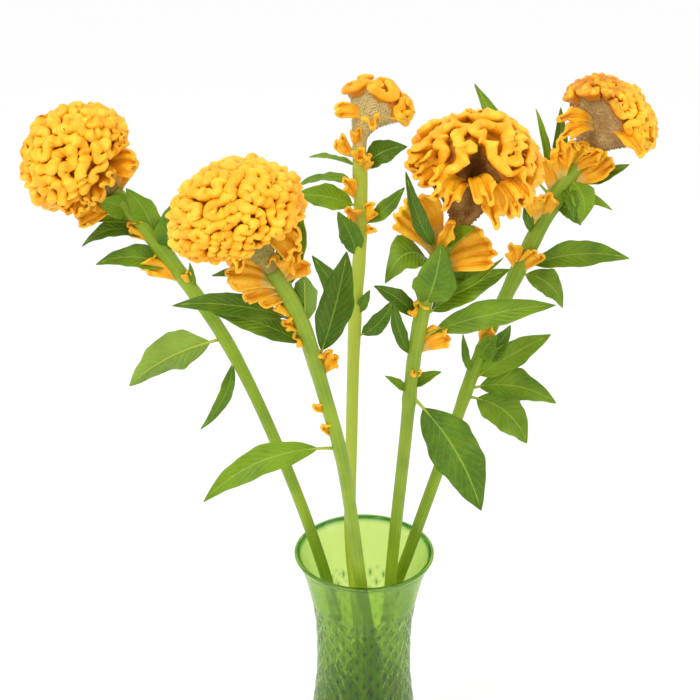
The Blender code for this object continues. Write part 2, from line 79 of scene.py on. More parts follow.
def wobble(points, size, seed=0.0):
    # soft noise for each point, features of the given size in millimetres
    shift = Vector((seed * 7.3, seed * 3.1, seed * 5.7))
    return np.array([noise.noise(Vector(p) / size + shift) for p in points])


# building pieces from bmesh operators


def newBody():
    body = bmesh.new()
    body.loops.layers.uv.new("UVMap")
    body.verts.layers.float.new("tone")
    body.verts.layers.float.new("depth")
    return body


def addSheet(body, across, along, shape, tone=0.0, depth=0.5):
    # a grid bent into place: shape gets the places across and along, 0 to 1, and gives points in millimetres
    made = bmesh.ops.create_grid(body, x_segments=across, y_segments=along, size=0.5)["verts"]
    u = np.array([v.co.x + 0.5 for v in made])
    w = np.array([v.co.y + 0.5 for v in made])
    points = shape(u, w)
    tones = np.broadcast_to(tone(points, u, w) if callable(tone) else tone, u.shape)
    depths = np.broadcast_to(depth(points, u, w) if callable(depth) else depth, u.shape)
    toneLayer = body.verts.layers.float["tone"]
    depthLayer = body.verts.layers.float["depth"]
    uvLayer = body.loops.layers.uv["UVMap"]
    place = {}
    for vert, point, a, b, t, d in zip(made, points, u, w, tones, depths):
        place[vert] = (a, b)
        vert.co = point * mm
        vert[toneLayer] = t
        vert[depthLayer] = d
    for face in {f for v in made for f in v.link_faces}:
        for loop in face.loops:
            loop[uvLayer].uv = place[loop.vert]


def finishPiece(body, name, finishes, nodes, merge=0.0, turnOut=False, thick=0.0, smoothLevels=0):
    if merge:
        bmesh.ops.remove_doubles(body, verts=body.verts, dist=merge * mm)
    if turnOut:
        bmesh.ops.recalc_face_normals(body, faces=body.faces)
    for face in body.faces:
        face.smooth = True
    mesh = bpy.data.meshes.new(name)
    body.to_mesh(mesh)
    body.free()
    for finish in finishes:
        mesh.materials.append(finish)
    piece = bpy.data.objects.new(name, mesh)
    bpy.context.scene.collection.objects.link(piece)
    if thick:
        wall = piece.modifiers.new("Solidify", "SOLIDIFY")
        wall.thickness = thick * mm
        wall.offset = 0
        wall.material_offset = len(finishes) - 1
    if smoothLevels:
        soft = piece.modifiers.new("Subdivision", "SUBSURF")
        soft.levels = soft.render_levels = smoothLevels
    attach(piece, "root")
    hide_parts(*nodes)


# shader nodes written as sums


class Wire:
    def __init__(self, shader, socket):
        self.shader = shader
        self.socket = socket

    def maths(self, operation, other=None, swapped=False):
        values = [self] if other is None else [other, self] if swapped else [self, other]
        return self.shader.node("ShaderNodeMath", {"operation": operation}, values)

    def __add__(self, other):
        return self.maths("ADD", other)

    __radd__ = __add__

    def __sub__(self, other):
        return self.maths("SUBTRACT", other)

    def __rsub__(self, other):
        return self.maths("SUBTRACT", other, True)

    def __mul__(self, other):
        return self.maths("MULTIPLY", other)

    def absolute(self):
        return self.maths("ABSOLUTE")

    def sine(self):
        return self.maths("SINE")


class Finish:
    def __init__(self, name):
        self.material = bpy.data.materials.new(name)
        self.material.use_nodes = True
        self.tree = self.material.node_tree
        self.surface = self.tree.nodes["Principled BSDF"]

    def link(self, value, socket):
        if isinstance(value, Wire):
            self.tree.links.new(value.socket, socket)
        else:
            socket.default_value = value

    def node(self, kind, settings=None, values=(), out=0):
        made = self.tree.nodes.new(kind)
        for key, value in (settings or {}).items():
            if key == "stops":
                ramp = made.color_ramp.elements
                while len(ramp) < len(value):
                    ramp.new(0.5)
                for element, (position, colour) in zip(ramp, value):
                    element.position = position
                    element.color = (*colour, 1)
            else:
                setattr(made, key, value)
        pairs = values.items() if isinstance(values, dict) else enumerate(values)
        for key, value in pairs:
            self.link(value, made.inputs[key])
        return Wire(self, made.outputs[out])

    def spot(self):
        return self.node("ShaderNodeTexCoord", out="Object")

    def attribute(self, name):
        return self.node("ShaderNodeAttribute", {"attribute_name": name}, out="Fac")

    def uv(self):
        both = self.node("ShaderNodeSeparateXYZ", {}, [self.node("ShaderNodeUVMap", {"uv_map": "UVMap"})])
        split = both.socket.node
        return Wire(self, split.outputs["X"]), Wire(self, split.outputs["Y"])

    def noise(self, scale, detail):
        values = {"Vector": self.spot(), "Scale": scale, "Detail": detail}
        return self.node("ShaderNodeTexNoise", {}, values, "Fac")

    def cells(self, scale):
        return self.node("ShaderNodeTexVoronoi", {}, {"Vector": self.spot(), "Scale": scale}, "Distance")

    def band(self, value, low, high):
        values = {"Value": value, "From Min": low, "From Max": high}
        return self.node("ShaderNodeMapRange", {"interpolation_type": "SMOOTHSTEP"}, values)

    def mix(self, share, first, second, blend="MIX"):
        first, second = ((*c, 1) if isinstance(c, tuple) and len(c) == 3 else c for c in (first, second))
        return self.node(
            "ShaderNodeMix", {"data_type": "RGBA", "blend_type": blend}, {0: share, 6: first, 7: second}, 2
        )

    def bump(self, height, distance, strength=1.0, before=None):
        values = {"Height": height, "Distance": distance, "Strength": strength}
        if before is not None:
            values["Normal"] = before
        return self.node("ShaderNodeBump", {}, values)

    def put(self, **values):
        names = {"colour": "Base Color", "roughness": "Roughness", "normal": "Normal", "ior": "IOR",
                 "transmission": "Transmission Weight", "inside": "Subsurface Weight",
                 "insideScale": "Subsurface Scale", "specular": "Specular IOR Level"}
        for key, value in values.items():
            if key == "colour" and not isinstance(value, Wire):
                value = (*value, 1)
            self.link(value, self.surface.inputs[names[key]])
        return self.material


# finishes


def crestFinish(name, low, middle, top, blush):
    # velvety ridge, coloured by the depth attribute: the darker low colour in the folds is painted shade on
    # the crests and the tan root on the side crests; patches of the paler top colour on the highest parts are
    # painted highlights; grained on top
    made = Finish(name)
    depth, tone = made.attribute("depth"), made.attribute("tone")
    patch = made.noise(55, 4)
    grain = made.cells(1150)
    height = made.band(depth + (patch - 0.5) * 0.45, 0.10, 0.95)
    # painted shade on the crests: the colour darkens from middle to low towards the folds
    colour = made.mix(made.band(height, 0.0, 0.55), low, middle)
    # painted highlight: patches of the paler top colour on the highest parts of the ridge
    colour = made.mix(made.band(height, 0.60, 1.0) * made.band(made.noise(95, 3), 0.30, 0.65), colour, top)
    colour = made.mix(tone * made.band(made.noise(160, 5), 0.35, 0.62), colour, blush)
    bumps = made.bump(grain, 0.0004, 0.45)
    bumps = made.bump(made.noise(420, 4), 0.0009, 0.50, bumps)
    return made.put(colour=colour, roughness=0.32 + grain * 0.25, normal=bumps, inside=0.25,
                    insideScale=0.004, specular=0.35)


def floretFinish(name, dark, light):
    made = Finish(name)
    patch = made.noise(120, 5)
    grain = made.cells(620)
    colour = made.mix(made.band(patch, 0.35, 0.65), dark, light)
    colour = made.mix(made.band(grain, 0.0, 0.5) * 0.35, dark, colour)
    bumps = made.bump(grain, 0.0010, 0.6)
    return made.put(colour=colour, roughness=0.62, normal=bumps, inside=0.08, insideScale=0.003,
                    specular=0.25)


def stemFinish():
    # pale ribs along a yellow-green skin, paler where the tone is high
    made = Finish("stem green")
    across = made.uv()[0]
    tone = made.attribute("tone")
    ribs = (across * (2 * math.pi * 10)).sine() * 0.5 + 0.5
    patch = made.noise(38, 4)
    colour = made.mix(made.band(patch, 0.3, 0.7), (0.15, 0.26, 0.008), (0.25, 0.36, 0.014))
    colour = made.mix(ribs * 0.14, colour, (0.38, 0.50, 0.06))
    colour = made.mix(tone * 0.85, colour, (0.44, 0.51, 0.05))
    bumps = made.bump(ribs, 0.0003, 0.3)
    bumps = made.bump(made.noise(600, 3), 0.0003, 0.4, bumps)
    return made.put(colour=colour, roughness=0.40, normal=bumps, inside=0.06, insideScale=0.004,
                    specular=0.28)


def leafFinish(name, dark, light, rib, shine, relief):
    # a pale midrib, side veins that run forward to the edge, and patches of lighter green
    made = Finish(name)
    across, along = made.uv()
    tone = made.attribute("tone")
    side = (across - 0.5).absolute()
    swing = ((along * 11 - side * 5.5) * (2 * math.pi)).sine()
    vein = made.band(swing, 0.86, 1.0) * made.band(side, 0.47, 0.30)
    midrib = made.band(side, 0.035, 0.006)
    patch = made.noise(42, 4)
    fine = made.noise(420, 3)
    share = made.band(patch + tone * 0.55 - 0.28, 0.25, 0.75)
    colour = made.mix(share, dark, light)
    colour = made.mix(made.band(fine, 0.4, 0.7) * 0.18, colour, light)
    colour = made.mix(vein * 0.16, colour, rib)
    colour = made.mix(midrib * 0.60, colour, rib)
    bumps = made.bump(swing * -0.5 * made.band(side, 0.5, 0.35), 0.0007, relief)
    bumps = made.bump(fine, 0.0003, 0.5, bumps)
    return made.put(colour=colour, roughness=shine, normal=bumps, inside=0.10, insideScale=0.003,
                    specular=0.25)


def glassFinish():
    # green through and through; the tone paints shade into the glass colour: darker in the pressed diamonds,
    # most in their hollows, and in the thick lip
    made = Finish("green glass")
    tone = made.attribute("tone")
    made.node("ShaderNodeVolumeAbsorption", {}, {"Color": (0.60, 0.79, 0.02, 1), "Density": 60.0})
    absorb = made.tree.nodes["Volume Absorption"]
    made.tree.links.new(absorb.outputs[0], made.tree.nodes["Material Output"].inputs["Volume"])
    # painted shade: the base colour goes from light green to dark green as the tone rises
    colour = made.mix(tone, (0.66, 0.80, 0.26), (0.015, 0.14, 0.006))
    made.put(colour=colour, roughness=0.03, transmission=1.0, ior=1.42, specular=0.15)
    # part of the light goes straight through, as through a thin wall, less of it where the tone paints shade
    through = made.node("ShaderNodeBsdfTransparent", {}, [(0.72, 0.85, 0.42, 1)])
    share = (1 - tone) * 0.4
    both = made.node("ShaderNodeMixShader", {}, [share, Wire(made, made.surface.outputs[0]), through])
    made.link(both, made.tree.nodes["Material Output"].inputs["Surface"])
    return made.material


def waterFinish():
    made = Finish("water")
    return made.put(colour=(0.93, 0.98, 0.90), roughness=0.0, transmission=1.0, ior=1.333)


finishes = {
    # the crest's low colour is painted fold shade and its top colour a painted highlight; the side crests'
    # low colour is their tan root, their top colour again a painted highlight
    "crest": crestFinish("crest yellow", (0.60, 0.22, 0.003), (0.90, 0.38, 0.001), (0.97, 0.57, 0.03),
                         (0.58, 0.17, 0.006)),
    "fan": crestFinish("side crest yellow", (0.72, 0.52, 0.12), (0.90, 0.40, 0.003), (0.97, 0.54, 0.02),
                       (0.75, 0.30, 0.01)),
    "stem": stemFinish(),
    "leafTop": leafFinish("leaf upper side", (0.058, 0.145, 0.002), (0.175, 0.31, 0.006), (0.32, 0.45, 0.05),
                          0.42, 0.40),
    "leafUnder": leafFinish("leaf underside", (0.13, 0.25, 0.025), (0.24, 0.37, 0.04), (0.38, 0.50, 0.10),
                            0.55, 0.50),
    "glass": glassFinish(),
    "water": waterFinish(),
}
print("finishes made")

# the stems, their leaves and their side crests, numbered from the far left to the far right

stemSizes = {
    "sides": 20, "radius": 4.3, "ribs": 5, "ribDepth": 0.035, "swellFrom": 0.7,
    "jointSwell": 0.06, "jointLength": 5, "jointBelow": 3,
    "swellUnderHead": {1: 1.3, 2: 1.1, 3: 1.1, 4: 1.1, 5: 1.45},
    "paleness": {1: 0.0, 2: 0.1, 3: 0.9, 4: 0.15, 5: 0.05},
    "points": {
        1: [(6, -7, 13), (-19, 8, 165), (-38, 17, 240), (-68, 27, 324), (-96, 30, 389), (-127, 30, 442),
            (-159, 28, 489), (-168, 27, 500)],
        2: [(22, 6, 13), (6, -20, 165), (-3, -38, 240), (-14, -60, 338), (-26, -74, 398), (-39, -92, 453),
            (-54, -106, 489)],
        3: [(4, -24, 13), (-3, -1, 165), (-10, 15, 240), (-9, 26, 324), (-7, 34, 400), (-3, 39, 470),
            (-4, 40, 528)],
        4: [(5, 12, 13), (17, 2, 165), (21, -4, 240), (27, -15, 329), (32, -30, 410), (41, -42, 468),
            (51, -46, 489)],
        5: [(-8, 22, 13), (17, 16, 165), (37, 15, 240), (62, 27, 316), (82, 35, 379), (105, 43, 435),
            (131, 48, 493), (144, 50, 515)],
    },
}

headSizes = {
    "coreShare": 0.76, "underShare": 0.7, "loopSteps": 3, "grain": [(0.7, 3.6, 3), (0.3, 1.6, 5)],
    1: dict(middle=(-187, 21, 522), axis=(-0.62, -0.25, 0.66), radii=(38, 36, 34), reach=122,
            notch=(-80, 12, 40), fold=8.4, seed=11, finer=(0, 0, -1, 0.15), bulge=0.50, wall=0.62,
            knobLength=8.5, knob=0.08, sway=1.3, lump=0.11, browned=0.0,
            florets=((0.24, 0.19, 0.04), (0.50, 0.42, 0.14))),
    2: dict(middle=(-70, -118, 522), axis=(-0.25, -0.32, 0.88), radii=(37, 35, 27), reach=120,
            notch=(-40, 24, 38), fold=8.0, seed=22, finer=(0.2, -0.9, -0.2, 0.40), bulge=0.50, wall=0.62,
            knobLength=7.5, knob=0.07, sway=1.2, lump=0.10, browned=0.0,
            florets=((0.25, 0.20, 0.04), (0.52, 0.44, 0.13))),
    3: dict(middle=(6, 40, 549), axis=(0.34, -0.10, 0.94), radii=(27, 16, 25), reach=86,
            notch=(-118, 44, 55), fold=9.5, seed=33, finer=(0, 0, 1, 0.0), bulge=0.36, wall=0.55,
            knobLength=11, knob=0.04, sway=2.0, lump=0.12, browned=0.35,
            florets=((0.60, 0.47, 0.18), (0.88, 0.77, 0.44))),
    4: dict(middle=(63, -52, 533), axis=(0.10, 0.25, 0.96), radii=(40, 35, 34), reach=118,
            notch=(-95, 60, 20), fold=11.0, seed=44, finer=(0, 0, 1, 0.0), bulge=0.33, wall=0.40,
            knobLength=14, knob=0.05, sway=3.2, lump=0.15, browned=0.0,
            florets=((0.20, 0.085, 0.012), (0.56, 0.34, 0.08))),
    5: dict(middle=(162, 52, 542), axis=(0.50, 0.10, 0.86), radii=(35, 30, 28), reach=110,
            notch=(-125, 50, 45), fold=6.4, seed=55, finer=(0, 0, 1, 0.0), bulge=0.50, wall=0.62,
            knobLength=5.5, knob=0.04, sway=0.9, lump=0.10, browned=0.8,
            florets=((0.38, 0.22, 0.07), (0.76, 0.58, 0.28))),
}

# each row: height of the root, compass direction (0 is right, 90 is back), rise, length, width, arch, tilt
# a wave is its depth as a share of the width, its count along the leaf and how far one side runs ahead
leafSizes = {
    "thick": 0.7, "across": 10, "along": 20, "stalk": 0.14, "broadest": 0.8, "blunt": 0.85,
    "cup": 0.16, "tipDroop": 0.02, "edgeWaves": [(0.06, 2.6, 1.7), (0.035, 6.3, 2.1)],
    "wave": (0.09, 1.3), "flutter": (0.05, 4.2, 1.6),
    "stalkUnder": ([0, 0.1, 0.2, 1], [0, 0, 0.45, 0.2]),
    "stalkRadius": ([0, 0.05, 0.14, 0.3, 1], [1.6, 1.15, 0.95, 0.7, 0.25]),
    1: [(395, -170, -24, 75, 30, 6, -75), (385, -154, -64, 62, 10, -8, 60), (483, -146, 30, 28, 17, 2, 80),
        (463, -132, 62, 47, 17, 4, 70), (456, -48, 74, 40, 17, 3, 80), (461, -174, 2, 52, 15, 12, 40),
        (443, -170, 10, 57, 17, 8, 50), (476, -170, 6, 35, 6, 4, 60), (428, -98, 72, 26, 5, 0, 80)],
    2: [(452, -176, 10, 75, 14, 5, 55), (431, -168, 26, 63, 16, 4, 50), (445, -86, 70, 42, 15, 3, -80),
        (468, 76, 80, 66, 17, 3, 80), (356, -172, -20, 94, 19, 12, 60), (477, 174, 8, 41, 8, 4, 40),
        (421, 50, 66, 71, 21, -3, 85)],
    3: [(514, 180, 12, 35, 9, 2, 8), (503, 174, -2, 43, 12, 4, 20), (485, -172, 14, 46, 17, 3, 65),
        (510, -10, 32, 37, 17, 5, 60), (472, -8, 44, 41, 11, -2, 70), (447, -140, 64, 43, 15, 2, 80),
        (402, -164, 60, 61, 15, 2, 75), (409, -38, 60, 25, 8, 0, 70), (393, -18, 48, 41, 13, -5, 60)],
    4: [(374, -36, -50, 90, 33, 8, 70), (469, -152, -8, 35, 24, 14, 45), (441, -70, 64, 54, 26, -4, 80),
        (433, -10, 34, 65, 18, 3, 60), (420, -10, 18, 90, 18, 4, 62), (430, -162, 42, 42, 12, 3, 60),
        (401, -152, 70, 49, 9, -3, 60), (374, -160, 42, 24, 6, 1, 50), (378, -18, 38, 26, 8, 2, 50),
        (479, -128, 56, 68, 10, -6, 60), (480, -58, 36, 38, 10, 3, 60), (453, 10, 16, 35, 12, 2, 40),
        (447, -18, 34, 57, 6, -5, 40)],
    5: [(441, -4, 8, 77, 19, 7, 60), (438, -24, -30, 40, 18, 8, 55), (358, -8, 36, 68, 20, 2, 65),
        (355, -16, -2, 64, 24, 8, 45), (350, -20, -32, 56, 27, 10, 65), (370, -14, 56, 43, 14, -2, 70),
        (364, -136, 72, 37, 6, -2, 60), (372, -52, 56, 35, 13, 2, 80), (489, 158, 52, 96, 15, -4, 55),
        (495, 88, 78, 57, 10, 2, 60), (489, 134, 72, 63, 6, 2, 50), (499, -70, -46, 27, 10, 6, 75),
        (505, -50, -62, 33, 17, 8, 70), (485, -16, -30, 25, 14, 5, 60), (502, -2, 16, 45, 12, -3, 50),
        (493, -6, -14, 40, 8, 3, 50), (463, -146, 70, 32, 7, -2, 70)],
}

fanSizes = {
    "thick": 1.5, "across": 24, "along": 11, "broad": 1.2, "ruffle": 2.7, "wave": 6.8, "meander": 0.13,
    "flat": 0.72, "roll": 1.5, "rollTurn": 190, "reach": 0.93, "crown": 0.16, "cup": 0.10,
    "outline": ([0, 0.3, 0.6, 0.85, 1], [0.20, 0.48, 0.82, 0.98, 1.0]),
    1: [(434, -166, 30, 36, 12, 3, 60), (428, -130, 68, 21, 5, 0, 70), (461, -162, 38, 26, 9, 2, 60),
        (497, 10, 68, 30, 14, 2, 70), (492, -160, -16, 34, 17, 3, 60), (485, -162, 14, 26, 9, 2, 50)],
    2: [(477, -156, 24, 37, 20, 4, 60), (473, -158, 4, 27, 14, 3, 60), (479, -78, 50, 26, 13, 3, 70),
        (479, -14, 44, 22, 14, 2, 70), (468, -150, 4, 20, 9, 2, 60), (452, -148, 42, 26, 9, 2, 60),
        (443, -148, 38, 19, 8, 2, 60), (434, -146, 36, 13, 7, 1, 60), (411, -38, 64, 22, 13, 2, 70),
        (382, -154, 42, 13, 5, 1, 60), (360, -158, 52, 18, 5, 1, 60)],
    3: [(487, -150, 56, 23, 8, 1, 70), (472, -136, 52, 19, 8, 1, 70), (473, -34, 56, 19, 8, 1, 70),
        (507, -56, 54, 20, 8, 1, 70), (467, -30, 24, 13, 5, 1, 60), (521, -166, 44, 20, 8, -3, 70),
        (517, -84, 50, 17, 10, -3, 70), (525, -116, 66, 17, 7, -2, 70)],
    4: [(433, -124, 52, 15, 10, 1, 70), (408, -16, 38, 28, 14, 2, 70), (380, -70, 60, 17, 6, 1, 70),
        (476, -140, 52, 51, 26, 5, 70), (464, -20, 28, 45, 24, 5, 60), (473, -74, 52, 40, 7, 2, 70)],
    5: [(438, -128, 66, 26, 10, 2, 70), (436, -26, 50, 27, 10, 2, 70), (468, -122, 60, 33, 12, 2, 70),
        (469, -64, 64, 31, 11, 2, 70), (489, -126, 66, 36, 14, 3, 70), (500, -112, 68, 36, 13, -3, 70),
        (505, -80, 60, 30, 12, 3, 70), (505, -42, 44, 32, 15, 4, 70), (500, -10, 32, 38, 14, -3, 60),
        (506, -62, 50, 30, 11, 5, 60), (504, -134, 56, 26, 12, 3, 70),
        (383, -56, 72, 22, 9, 2, 70)],
}

# the same for the flaps that hang free under a crest, but the height of their root is a share of the way
# from the stem's end to the head's middle
flapSizes = {
    1: [(0.75, -28, 10, 44, 17, 4, 70), (0.8, -102, -45, 38, 20, 4, 70), (0.7, -55, -5, 38, 12, 4, 70),
        (0.85, -25, 31, 43, 14, 4, 75), (0.75, -71, -28, 37, 14, 4, 70)],
    2: [(0.75, -115, -14, 35, 15, 6, 60), (0.8, -28, -13, 36, 17, 6, 80), (0.72, -96, -19, 35, 13, 4, 60),
        (0.85, -18, 14, 34, 13, 4, 80)],
    3: [(0.7, -150, 20, 30, 8, 4, 70), (0.7, -88, 7, 24, 10, 2, 70), (0.8, -20, 16, 31, 15, 4, 60)],
    4: [(0.75, -74, -15, 51, 11, 12, 80), (0.8, -49, -7, 47, 19, 10, 75), (0.8, -120, 3, 54, 14, 9, 70),
        (0.85, -139, 8, 50, 17, 8, 70), (0.72, -110, 1, 57, 12, 9, 60), (0.72, -85, 2, 54, 12, 11, 70),
        (0.8, -61, -14, 49, 15, 10, 70), (0.85, -146, 19, 54, 14, 6, 80), (0.85, -27, 7, 42, 15, 6, 80)],
    5: [(0.8, -140, 14, 47, 8, 6, 60), (0.75, -131, 2, 50, 9, 6, 60), (0.8, -62, -13, 44, 12, 8, 70),
        (0.85, -29, -9, 37, 14, 6, 80)],
}


def stemLine(number, steps):
    return curveThrough(stemSizes["points"][number], steps)


def stemRadius(number, height):
    top = stemSizes["points"][number][-1][2]
    swell = stemSizes["swellUnderHead"][number]
    return stemSizes["radius"] * np.interp(height, [0, stemSizes["swellFrom"] * top, top], [1, 1, swell])


def tubeShape(line, radii, ribDepth=0.0, ribs=0):
    # a round skin over a line, closed to a point at both ends
    along = tangentsOf(line)
    side = np.cross(along, (0, 1, 0))
    side /= np.linalg.norm(side, axis=1)[:, None]
    back = np.cross(side, along)

    def shape(u, w):
        spot = np.clip(np.rint(w * (len(line) + 1)).astype(int) - 1, 0, len(line) - 1)
        skin = ((w * (len(line) + 1) > 0.5) & (w * (len(line) + 1) < len(line) + 0.5)).astype(float)
        turn = u * 2 * math.pi
        reach = radii[spot] * skin * (1 + ribDepth * np.cos(ribs * turn))
        out = side[spot] * np.cos(turn)[:, None] + back[spot] * np.sin(turn)[:, None]
        return line[spot] + out * reach[:, None]

    return shape, len(line) + 1


def bladeFrame(number, row):
    height, heading, rise, length, width, arch, tilt = row
    line = stemLine(number, 24)
    if height < 1:
        root = line[-1] + height * (np.array(headSizes[number]["middle"]) - line[-1])
    else:
        root = line[np.abs(line[:, 2] - height).argmin()]
    heading, rise, tilt = (math.radians(v) for v in (heading, rise, tilt))
    along = np.array([math.cos(rise) * math.cos(heading), math.cos(rise) * math.sin(heading), math.sin(rise)])
    face = np.array([0, -math.sin(tilt), math.cos(tilt)])
    face = unit(face - along * (face @ along))
    upward = np.array([0, 0, 1]) - along * along[2]
    upward = face if np.linalg.norm(upward) < 0.3 else unit(upward)

    def middle(share):
        share = np.asarray(share, float)[..., None]
        return root + along * length * share + upward * arch * 4 * share * (1 - share)

    return middle, np.cross(along, face), face


def addStalk(body, number, row, tone):
    # the leaf's stalk, which runs on under the blade as its midrib
    middle, face = bladeFrame(number, row)[::2]
    share = np.linspace(0.02, 0.93, 14)
    line = middle(share) - face * np.interp(share, *leafSizes["stalkUnder"])[:, None]
    thick = np.interp(share, *leafSizes["stalkRadius"]) * (0.75 + 0.012 * row[4])
    shape, rows = tubeShape(line, thick)
    addSheet(body, 8, rows, shape, tone=tone, depth=0.5)


def makeStem(number):
    body = newBody()
    line = stemLine(number, 14)
    radii = stemRadius(number, line[:, 2])
    for row in leafSizes[number]:
        away = (line[:, 2] - row[0] + stemSizes["jointBelow"]) / stemSizes["jointLength"]
        radii = radii * (1 + stemSizes["jointSwell"] * np.exp(-(away**2)))
    pale = stemSizes["paleness"][number]
    shape, rows = tubeShape(line, radii, stemSizes["ribDepth"], stemSizes["ribs"])
    addSheet(body, stemSizes["sides"], rows, shape, tone=pale, depth=0.5)
    for row in leafSizes[number]:
        addStalk(body, number, row, 0.8)
    finishPiece(body, f"stem{number}", [finishes["stem"]], [f"stem_{number}"], merge=0.01)


def makeLeaves(number):
    body = newBody()
    sizes = leafSizes
    rng = np.random.default_rng(100 + number)
    for row in sizes[number]:
        length, width = row[3], row[4]
        middle, across, face = bladeFrame(number, row)
        phase, tone = rng.random(3) * 2 * math.pi, rng.random()

        def shape(u, w):
            x = 2 * u - 1
            share = sizes["stalk"] + (1 - sizes["stalk"]) * w
            full = width * np.sin(math.pi * np.clip(w, 0.004, 0.998) ** sizes["broadest"]) ** sizes["blunt"]
            for (depth, count, ahead), start in zip(sizes["edgeWaves"], phase):
                full = full * (1 + depth * np.sin(2 * math.pi * count * w + start + ahead * np.sign(x)))
            lift = sizes["cup"] * full * np.abs(x) ** 1.25
            depth, count = sizes["wave"]
            lift = lift + depth * full * x * np.sin(2 * math.pi * count * w + phase[1])
            depth, count, ahead = sizes["flutter"]
            small = np.sin(2 * math.pi * count * w + phase[2] + ahead * np.sign(x))
            lift = lift + depth * full * np.abs(x) ** 3 * small
            edge = across * (x * full / 2)[:, None] + face * lift[:, None]
            droop = sizes["tipDroop"] * length * smoothStep(0.7, 1, w) ** 2
            return middle(share) + edge - face * droop[:, None]

        addSheet(body, sizes["across"], sizes["along"], shape, tone=tone)
    finishPiece(body, f"leaves{number}", [finishes["leafTop"], finishes["leafUnder"]], [f"stem_{number}"],
                thick=sizes["thick"], smoothLevels=1)


def addFlap(body, number, row, rng):
    # a small crest: narrow at the root, widening to an edge that meanders in folds and rolls over
    sizes = fanSizes
    length, width = row[3], row[4] * sizes["broad"]
    middle, across, face = bladeFrame(number, row)
    phase, tone = rng.random(4) * 2 * math.pi, 0.5 * rng.random()
    flat = sizes["flat"]
    roll = sizes["roll"] * (0.6 + 0.02 * width)
    folds = max(1.1, width / sizes["wave"])
    along = unit(middle(0.9) - middle(0.7))

    def shape(u, w):
        x = 2 * u - 1
        place = np.minimum(w, flat) / flat
        turn = math.radians(sizes["rollTurn"]) * np.clip((w - flat) / (1 - flat), 0, 1)
        full = width * np.interp(place, *sizes["outline"])
        waves = math.pi * folds * (x + 0.12 * np.sin(2.2 * x + phase[2])) + phase[0]
        edge = 0.35 * np.cos(waves) + 0.45 * np.cos(0.6 * waves + phase[1])
        share = sizes["reach"] * place + sizes["ruffle"] / length * place**3 * edge
        share = share - sizes["crown"] * np.abs(x) ** 2.4 * place**2
        sideways = x * full / 2 - sizes["meander"] * width / folds * np.sin(2 * waves) * place**3
        lift = sizes["ruffle"] * place**3 * (np.sin(waves) + 0.35 * np.sin(0.55 * waves + phase[3]))
        lift = lift + sizes["cup"] * full * np.abs(x) ** 2.2
        points = middle(share) + across * sideways[:, None]
        points = points + along * (roll * np.sin(turn))[:, None]
        return points + face * (lift + roll * (1 - np.cos(turn)))[:, None]

    # the depth runs from the tan root to the yellow edge and sides, where the finish also paints highlights
    def depth(points, u, w):
        side = smoothStep(0.55, 0.95, np.abs(2 * u - 1)) * smoothStep(0.2, 0.5, w)
        return 0.1 + 0.9 * np.maximum(smoothStep(0.12, 0.60, w), side)

    addSheet(body, sizes["across"], sizes["along"], shape, tone=tone, depth=depth)


def makeFans(number):
    body = newBody()
    rng = np.random.default_rng(200 + number)
    for row in fanSizes[number]:
        addFlap(body, number, row, rng)
    finishPiece(body, f"sideCrests{number}", [finishes["fan"]], [f"stem_{number}"],
                thick=fanSizes["thick"], smoothLevels=1)


def makeFlaps(number):
    body = newBody()
    rng = np.random.default_rng(250 + number)
    for row in flapSizes[number]:
        addFlap(body, number, row, rng)
    finishPiece(body, f"flaps{number}", [finishes["fan"]], [f"crest_{number}"],
                thick=fanSizes["thick"], smoothLevels=1)


for number in stemSizes["points"]:
    makeStem(number)
    makeLeaves(number)
    makeFans(number)
print("stems, leaves and side crests made")

# the heads: a ridge that has grown and folded over a dome, on a funnel covered with florets


def headFrame(head):
    axis = unit(head["axis"])
    across = unit(np.cross((0, 1, 0), axis))
    return across, np.cross(axis, across), axis


def onHead(head, directions, share):
    across, back, axis = headFrame(head)
    local = directions * np.array(head["radii"]) * np.asarray(share)[..., None]
    local[..., 2] *= np.where(local[..., 2] > 0, 1, headSizes["underShare"])
    return np.array(head["middle"]) + local @ np.array([across, back, axis])


def reachOf(head, turn):
    # how far down the ridge comes, less where the head is open at one side and shows its florets
    heading, depth, width = (math.radians(v) for v in head["notch"])
    away = np.abs((turn - heading + math.pi) % (2 * math.pi) - math.pi)
    return math.radians(head["reach"]) - depth * np.exp(-((away / width) ** 2))


growthSizes = {
    "step": 0.36, "starters": 14, "startPolar": 0.5, "push": 0.32, "straighten": 0.18, "pull": 0.22,
    "stride": 0.5, "settle": 110,
}


